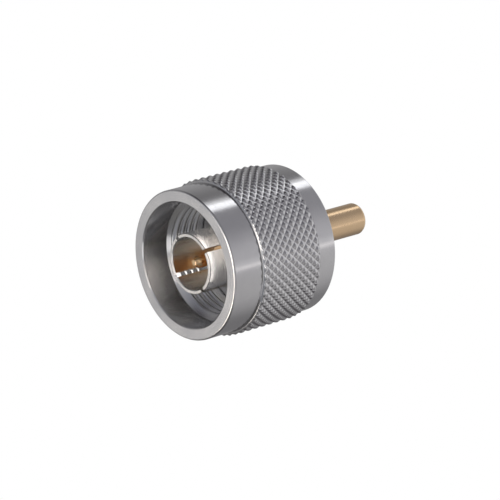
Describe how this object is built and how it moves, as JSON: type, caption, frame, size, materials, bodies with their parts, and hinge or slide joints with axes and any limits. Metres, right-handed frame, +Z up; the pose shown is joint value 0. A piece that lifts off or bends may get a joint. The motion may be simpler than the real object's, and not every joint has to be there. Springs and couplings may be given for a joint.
{
  "type": "n type coaxial connector",
  "caption": "Coaxial cable plug: a knurled coupling nut turns on a body with a slotted outer contact, a centre pin and a gold solder sleeve for semi-rigid cable.",
  "frame": {"origin": "centre of the mouth of the solder sleeve's bore, where the cable goes in; the connector is held here", "axes": "+Y along the connector axis, from the mating face towards the cable; +Z up; +X completes the right-handed frame"},
  "size_m": [0.021, 0.0306, 0.021],
  "materials": {
    "nut_plating": "brass with a satin white-bronze plating, knurled between turned bands",
    "body_plating": "brass with a satin white-bronze plating, turned",
    "contact_plating": "sprung copper alloy with a bright white-bronze plating",
    "gold_plating": "gold plated, turned",
    "ptfe": "white PTFE",
    "silicone": "dark grey silicone rubber",
    "spring_bronze": "phosphor bronze strip",
    "sleeve_gold": "thin satin gold plating on a drawn tube"
  },
  "bodies": {
    "plug_body": {"connector_body": "body_plating", "outer_contact": "contact_plating", "centre_contact": "gold_plating", "front_insulator": "ptfe", "mating_gasket": "silicone", "snap_ring": "spring_bronze", "solder_sleeve": "sleeve_gold"},
    "nut": {"coupling_nut": "nut_plating"}
  },
  "joints": [
    {"name": "nut_spin", "type": "hinge", "parent": "plug_body", "child": "nut", "pos_m": [0, -0.0218, 0], "axis": [0, -1, 0], "continuous": true}
  ]
}
